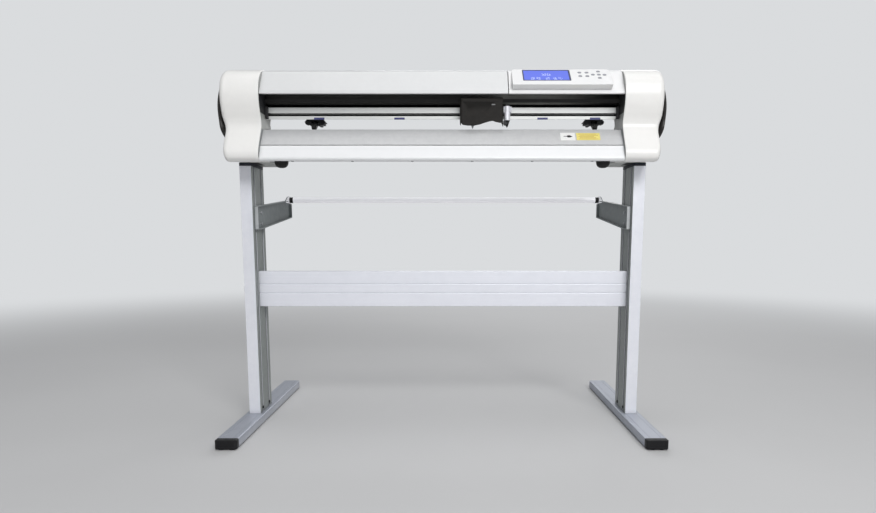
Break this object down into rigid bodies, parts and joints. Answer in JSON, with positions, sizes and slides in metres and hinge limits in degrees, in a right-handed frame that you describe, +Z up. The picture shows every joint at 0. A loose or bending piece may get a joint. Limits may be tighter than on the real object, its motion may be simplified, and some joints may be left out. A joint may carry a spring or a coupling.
{
  "type": "vinyl cutter on floor stand",
  "caption": "Roll-fed vinyl cutter with rounded white end covers, sliding knife carriage and slanted key panel, on an open floor stand with a rear media bar.",
  "frame": {"origin": "floor level, under the middle of the footprint: midway between the feet in X and midway along the feet in Y", "axes": "+Z up, +X to the operator's right, -Y towards the operator; media bar at +Y"},
  "size_m": [1.108, 0.594, 0.905],
  "materials": {
    "foot_aluminium": "satin",
    "black_plastic": "matte",
    "upright_aluminium": "satin",
    "black_steel": "matte",
    "grey_steel": "satin",
    "bar_metal": "gloss",
    "frame_metal": "satin",
    "white_plastic": "satin",
    "dark_plastic": "satin",
    "rubber": "matte",
    "cover_metal": "satin",
    "panel_plastic": "satin",
    "key_plastic": "satin",
    "display": "gloss",
    "circuit_board": "satin",
    "beam_aluminium": "satin",
    "rail_steel": "satin",
    "dark_metal": "matte",
    "platen_metal": "satin",
    "strip_plastic": "matte",
    "apron_metal": "satin",
    "shaft_steel": "satin",
    "gear_plastic": "satin",
    "brass_gear": "satin",
    "motor_black": "matte",
    "belt_rubber": "matte",
    "pulley_metal": "satin",
    "carriage_metal": "satin",
    "carriage_plastic": "satin",
    "clamp_metal": "satin",
    "holder_metal": "gloss"
  },
  "bodies": {
    "machine": {"foot_left": "foot_aluminium", "foot_cap_left": "black_plastic", "upright_left": "upright_aluminium", "mount_plate_left": "black_steel", "media_arm_left": "grey_steel", "bar_bush_left": "black_plastic", "foot_right": "foot_aluminium", "foot_cap_right": "black_plastic", "upright_right": "upright_aluminium", "mount_plate_right": "black_steel", "media_arm_right": "grey_steel", "bar_bush_right": "black_plastic", "cross_beam": "upright_aluminium", "side_frame_left": "frame_metal", "end_cap_left": "white_plastic", "side_insert_left": "dark_plastic", "bench_foot_left": "rubber", "side_frame_right": "frame_metal", "end_cap_right": "white_plastic", "side_insert_right": "dark_plastic", "bench_foot_right": "rubber", "top_cover": "cover_metal", "control_housing": "panel_plastic", "display_window": "display", "controller_board": "circuit_board", "rail_beam": "beam_aluminium", "guide_rail": "rail_steel", "belt_guard": "dark_metal", "platen": "platen_metal", "cutting_strip": "strip_plastic", "front_apron": "apron_metal", "feed_motor": "motor_black", "timing_belt": "belt_rubber", "carriage_motor": "motor_black"},
    "media_bar": {"media_bar": "bar_metal"},
    "feed_shaft": {"grit_shaft": "shaft_steel", "shaft_gear": "gear_plastic"},
    "motor_pinion": {"motor_pinion": "brass_gear"},
    "drive_pulley": {"drive_pulley": "pulley_metal"},
    "idler_pulley": {"idler_pulley": "pulley_metal"},
    "carriage": {"carriage_plate": "carriage_metal", "carriage_cover": "carriage_plastic"},
    "tool": {"tool_slide": "clamp_metal", "blade_holder": "holder_metal"},
    "pinch_slider_left": {"pinch_bracket_left": "black_plastic"},
    "pinch_arm_left": {"pinch_arm_left": "black_steel"},
    "pinch_wheel_left": {"pinch_wheel_left": "rubber"},
    "pinch_slider_right": {"pinch_bracket_right": "black_plastic"},
    "pinch_arm_right": {"pinch_arm_right": "black_steel"},
    "pinch_wheel_right": {"pinch_wheel_right": "rubber"},
    "key_menu": {"key_menu": "key_plastic"},
    "key_test": {"key_test": "key_plastic"},
    "key_offset": {"key_offset": "key_plastic"},
    "key_origin": {"key_origin": "key_plastic"},
    "key_arrow_left": {"key_arrow_left": "key_plastic"},
    "key_arrow_up": {"key_arrow_up": "key_plastic"},
    "key_enter": {"key_enter": "key_plastic"},
    "key_arrow_down": {"key_arrow_down": "key_plastic"},
    "key_arrow_right": {"key_arrow_right": "key_plastic"},
    "power_switch": {"power_switch": "black_plastic"}
  },
  "joints": [
    {"name": "media_bar_spin", "type": "hinge", "parent": "machine", "child": "media_bar", "pos_m": [0, 0.275, 0.611], "axis": [1, 0, 0], "continuous": true},
    {"name": "feed_shaft_spin", "type": "hinge", "parent": "machine", "child": "feed_shaft", "pos_m": [0, -0.09, 0.7483], "axis": [1, 0, 0], "continuous": true},
    {"name": "motor_pinion_spin", "type": "hinge", "parent": "machine", "child": "motor_pinion", "pos_m": [-0.456, -0.06686, 0.72072], "axis": [1, 0, 0], "continuous": true},
    {"name": "carriage_slide", "type": "slide", "parent": "machine", "child": "carriage", "axis": [1, 0, 0], "range_m": [-0.46, 0.25]},
    {"name": "drive_pulley_spin", "type": "hinge", "parent": "machine", "child": "drive_pulley", "pos_m": [0.475, -0.092, 0.83], "axis": [0, 0, 1], "continuous": true},
    {"name": "idler_pulley_spin", "type": "hinge", "parent": "machine", "child": "idler_pulley", "pos_m": [-0.475, -0.092, 0.83], "axis": [0, 0, 1], "continuous": true},
    {"name": "tool_slide_z", "type": "slide", "parent": "carriage", "child": "tool", "axis": [0, 0, 1], "range_m": [-0.003, 0.0015], "stiffness_N_per_m": 60},
    {"name": "pinch_slide_left", "type": "slide", "parent": "machine", "child": "pinch_slider_left", "axis": [1, 0, 0], "range_m": [-0.081, 0.24]},
    {"name": "pinch_lift_left", "type": "hinge", "parent": "pinch_slider_left", "child": "pinch_arm_left", "pos_m": [-0.323, -0.062, 0.7815], "axis": [1, 0, 0], "range_deg": [-5, 4], "stiffness_Nm_per_rad": 0.5},
    {"name": "pinch_wheel_spin_left", "type": "hinge", "parent": "pinch_arm_left", "child": "pinch_wheel_left", "pos_m": [-0.323, -0.09, 0.7689], "axis": [1, 0, 0], "continuous": true},
    {"name": "pinch_slide_right", "type": "slide", "parent": "machine", "child": "pinch_slider_right", "axis": [1, 0, 0], "range_m": [-0.16, 0.02]},
    {"name": "pinch_lift_right", "type": "hinge", "parent": "pinch_slider_right", "child": "pinch_arm_right", "pos_m": [0.384, -0.062, 0.7815], "axis": [1, 0, 0], "range_deg": [-5, 4], "stiffness_Nm_per_rad": 0.5},
    {"name": "pinch_wheel_spin_right", "type": "hinge", "parent": "pinch_arm_right", "child": "pinch_wheel_right", "pos_m": [0.384, -0.09, 0.7689], "axis": [1, 0, 0], "continuous": true},
    {"name": "key_menu_press", "type": "slide", "parent": "machine", "child": "key_menu", "axis": [0, 0.6923, -0.7216], "range_m": [0, 0.0008], "stiffness_N_per_m": 400},
    {"name": "key_test_press", "type": "slide", "parent": "machine", "child": "key_test", "axis": [0, 0.6923, -0.7216], "range_m": [0, 0.0008], "stiffness_N_per_m": 400},
    {"name": "key_offset_press", "type": "slide", "parent": "machine", "child": "key_offset", "axis": [0, 0.6923, -0.7216], "range_m": [0, 0.0008], "stiffness_N_per_m": 400},
    {"name": "key_origin_press", "type": "slide", "parent": "machine", "child": "key_origin", "axis": [0, 0.6923, -0.7216], "range_m": [0, 0.0008], "stiffness_N_per_m": 400},
    {"name": "key_arrow_left_press", "type": "slide", "parent": "machine", "child": "key_arrow_left", "axis": [0, 0.6923, -0.7216], "range_m": [0, 0.0008], "stiffness_N_per_m": 400},
    {"name": "key_arrow_up_press", "type": "slide", "parent": "machine", "child": "key_arrow_up", "axis": [0, 0.6923, -0.7216], "range_m": [0, 0.0008], "stiffness_N_per_m": 400},
    {"name": "key_enter_press", "type": "slide", "parent": "machine", "child": "key_enter", "axis": [0, 0.6923, -0.7216], "range_m": [0, 0.0008], "stiffness_N_per_m": 400},
    {"name": "key_arrow_down_press", "type": "slide", "parent": "machine", "child": "key_arrow_down", "axis": [0, 0.6923, -0.7216], "range_m": [0, 0.0008], "stiffness_N_per_m": 400},
    {"name": "key_arrow_right_press", "type": "slide", "parent": "machine", "child": "key_arrow_right", "axis": [0, 0.6923, -0.7216], "range_m": [0, 0.0008], "stiffness_N_per_m": 400},
    {"name": "power_switch_rock", "type": "hinge", "parent": "machine", "child": "power_switch", "pos_m": [0.38, 0.0395, 0.86], "axis": [1, 0, 0], "range_deg": [0, 16], "stiffness_Nm_per_rad": 0.05}
  ],
  "couplings": [
    {"joint": "motor_pinion_spin", "follows": "feed_shaft_spin", "ratio": -3},
    {"joint": "drive_pulley_spin", "follows": "carriage_slide", "rad_per_m": 61.162},
    {"joint": "idler_pulley_spin", "follows": "carriage_slide", "rad_per_m": 61.162}
  ]
}
